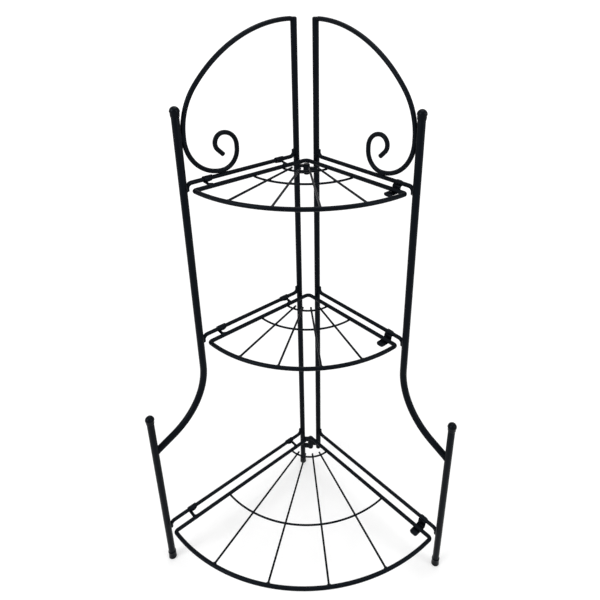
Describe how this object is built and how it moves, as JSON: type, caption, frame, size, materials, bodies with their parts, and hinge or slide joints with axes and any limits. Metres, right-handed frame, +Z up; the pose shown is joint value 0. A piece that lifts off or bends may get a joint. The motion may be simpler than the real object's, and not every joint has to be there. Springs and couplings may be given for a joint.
{
  "type": "folding corner plant stand",
  "caption": "Black wire corner stand for potted plants: quarter-round shelves stepping out toward the floor, scrolled side frames hinged at the back.",
  "frame": {"origin": "middle of the footprint on the floor", "axes": "+Z up, the open quarter-round front faces -Y, the hinged corner is at +Y"},
  "size_m": [0.384, 0.2586, 0.7128],
  "materials": {
    "black_powder_coat": "satin",
    "black_cap_plastic": "gloss"
  },
  "bodies": {
    "left_frame": {"left_inner_post": "black_powder_coat", "left_outer_post": "black_powder_coat", "left_lower_post": "black_powder_coat", "left_scroll": "black_powder_coat", "left_top_rail": "black_powder_coat", "left_middle_rail": "black_powder_coat", "left_bottom_rail": "black_powder_coat", "left_upper_finial": "black_cap_plastic", "left_lower_finial": "black_cap_plastic", "left_foot_cap": "black_cap_plastic", "inner_foot_cap": "black_cap_plastic", "lower_hinge_left_knuckles": "black_powder_coat", "lower_hinge_pin": "black_powder_coat", "upper_hinge_left_knuckles": "black_powder_coat", "upper_hinge_pin": "black_powder_coat"},
    "right_frame": {"right_inner_post": "black_powder_coat", "right_outer_post": "black_powder_coat", "right_lower_post": "black_powder_coat", "right_scroll": "black_powder_coat", "right_top_rail": "black_powder_coat", "right_middle_rail": "black_powder_coat", "right_bottom_rail": "black_powder_coat", "right_upper_finial": "black_cap_plastic", "right_lower_finial": "black_cap_plastic", "right_foot_cap": "black_cap_plastic", "right_top_rest": "black_powder_coat", "right_middle_rest": "black_powder_coat", "right_bottom_rest": "black_powder_coat", "lower_hinge_right_knuckle": "black_powder_coat", "upper_hinge_right_knuckle": "black_powder_coat"},
    "top_shelf": {"top_shelf_rim": "black_powder_coat", "top_shelf_spokes": "black_powder_coat", "top_shelf_inner_arc": "black_powder_coat", "top_shelf_mid_arc": "black_powder_coat", "top_shelf_front_clip": "black_powder_coat", "top_shelf_rear_clip": "black_powder_coat"},
    "middle_shelf": {"middle_shelf_rim": "black_powder_coat", "middle_shelf_spokes": "black_powder_coat", "middle_shelf_inner_arc": "black_powder_coat", "middle_shelf_mid_arc": "black_powder_coat", "middle_shelf_front_clip": "black_powder_coat", "middle_shelf_rear_clip": "black_powder_coat"},
    "bottom_shelf": {"bottom_shelf_rim": "black_powder_coat", "bottom_shelf_spokes": "black_powder_coat", "bottom_shelf_inner_arc": "black_powder_coat", "bottom_shelf_mid_arc": "black_powder_coat", "bottom_shelf_front_clip": "black_powder_coat", "bottom_shelf_rear_clip": "black_powder_coat"}
  },
  "joints": [
    {"name": "top_shelf_lift", "type": "hinge", "parent": "left_frame", "child": "top_shelf", "pos_m": [-0.0693, 0.06803, 0.543], "axis": [-0.7071, -0.7071, 0], "range_deg": [0, 88]},
    {"name": "middle_shelf_lift", "type": "hinge", "parent": "left_frame", "child": "middle_shelf", "pos_m": [-0.0693, 0.06803, 0.338], "axis": [-0.7071, -0.7071, 0], "range_deg": [0, 88]},
    {"name": "bottom_shelf_lift", "type": "hinge", "parent": "left_frame", "child": "bottom_shelf", "pos_m": [-0.09617, 0.04116, 0.066], "axis": [-0.7071, -0.7071, 0], "range_deg": [0, 88]},
    {"name": "right_frame_swing", "type": "hinge", "parent": "left_frame", "child": "right_frame", "pos_m": [0, 0.12433, 0.043], "axis": [0, 0, 1], "range_deg": [0, 90]}
  ]
}
